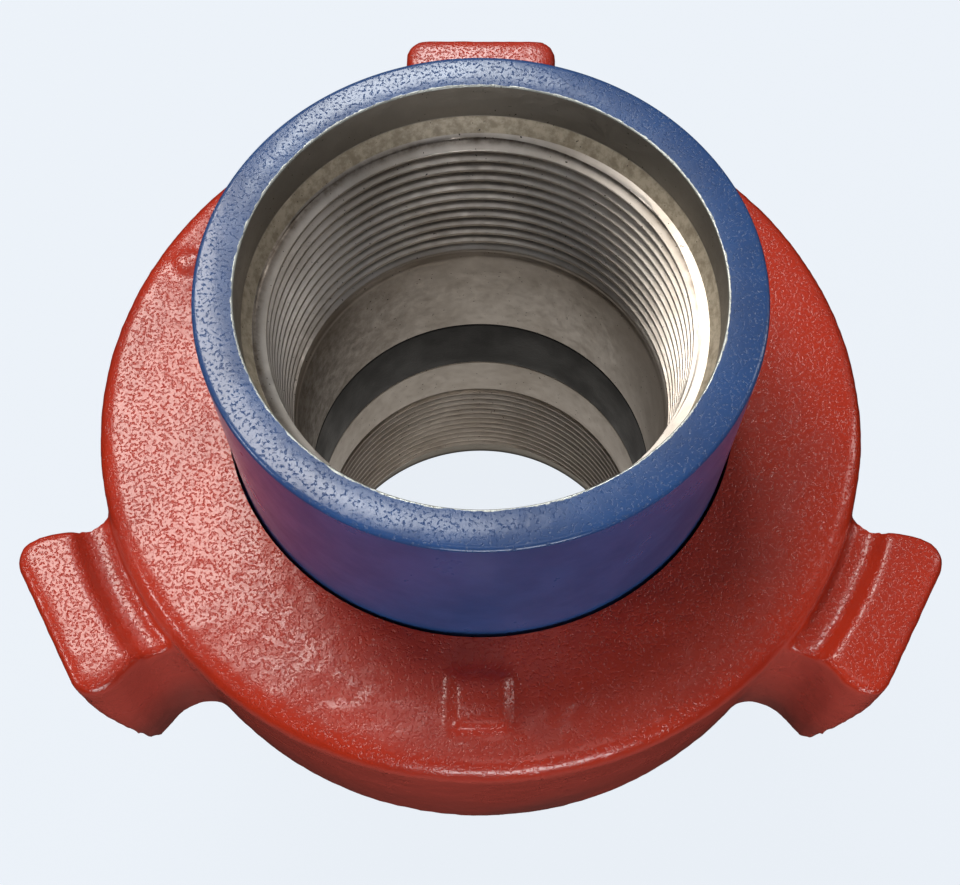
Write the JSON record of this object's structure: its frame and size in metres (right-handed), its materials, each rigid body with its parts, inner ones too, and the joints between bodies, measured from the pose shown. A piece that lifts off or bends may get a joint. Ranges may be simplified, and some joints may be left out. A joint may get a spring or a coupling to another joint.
{
  "type": "hammer union",
  "caption": "Hammer union with two blue threaded steel subs, a black seal ring between them and a red wing nut with hammer lugs.",
  "frame": {"origin": "on the common axis, in the plane of the lower end face", "axes": "+Z along the flow axis, up through the male sub; one hammer lug points along +Y"},
  "size_m": [0.1898, 0.1828, 0.1694],
  "materials": {
    "blue_steel": "gloss blue paint outside, bare machined steel in the bore and threads",
    "black_rubber": "satin moulded rubber",
    "red_casting": "gloss red paint over a pebbled cast skin"
  },
  "bodies": {
    "female_half": {"female_sub": "blue_steel", "seal_ring": "black_rubber"},
    "male_half": {"male_sub": "blue_steel"},
    "wing_nut": {"wing_nut": "red_casting"}
  },
  "joints": [
    {"name": "male_sub_lift", "type": "slide", "parent": "female_half", "child": "male_half", "axis": [0, 0, 1], "range_m": [0, 0.0254]},
    {"name": "wing_nut_turn", "type": "hinge", "parent": "male_half", "child": "wing_nut", "pos_m": [0, 0, 0.1], "axis": [0, 0, 1], "range_deg": [0, 1080]}
  ],
  "couplings": [
    {"joint": "male_sub_lift", "follows": "wing_nut_turn", "m_per_rad": 0.0013475}
  ]
}
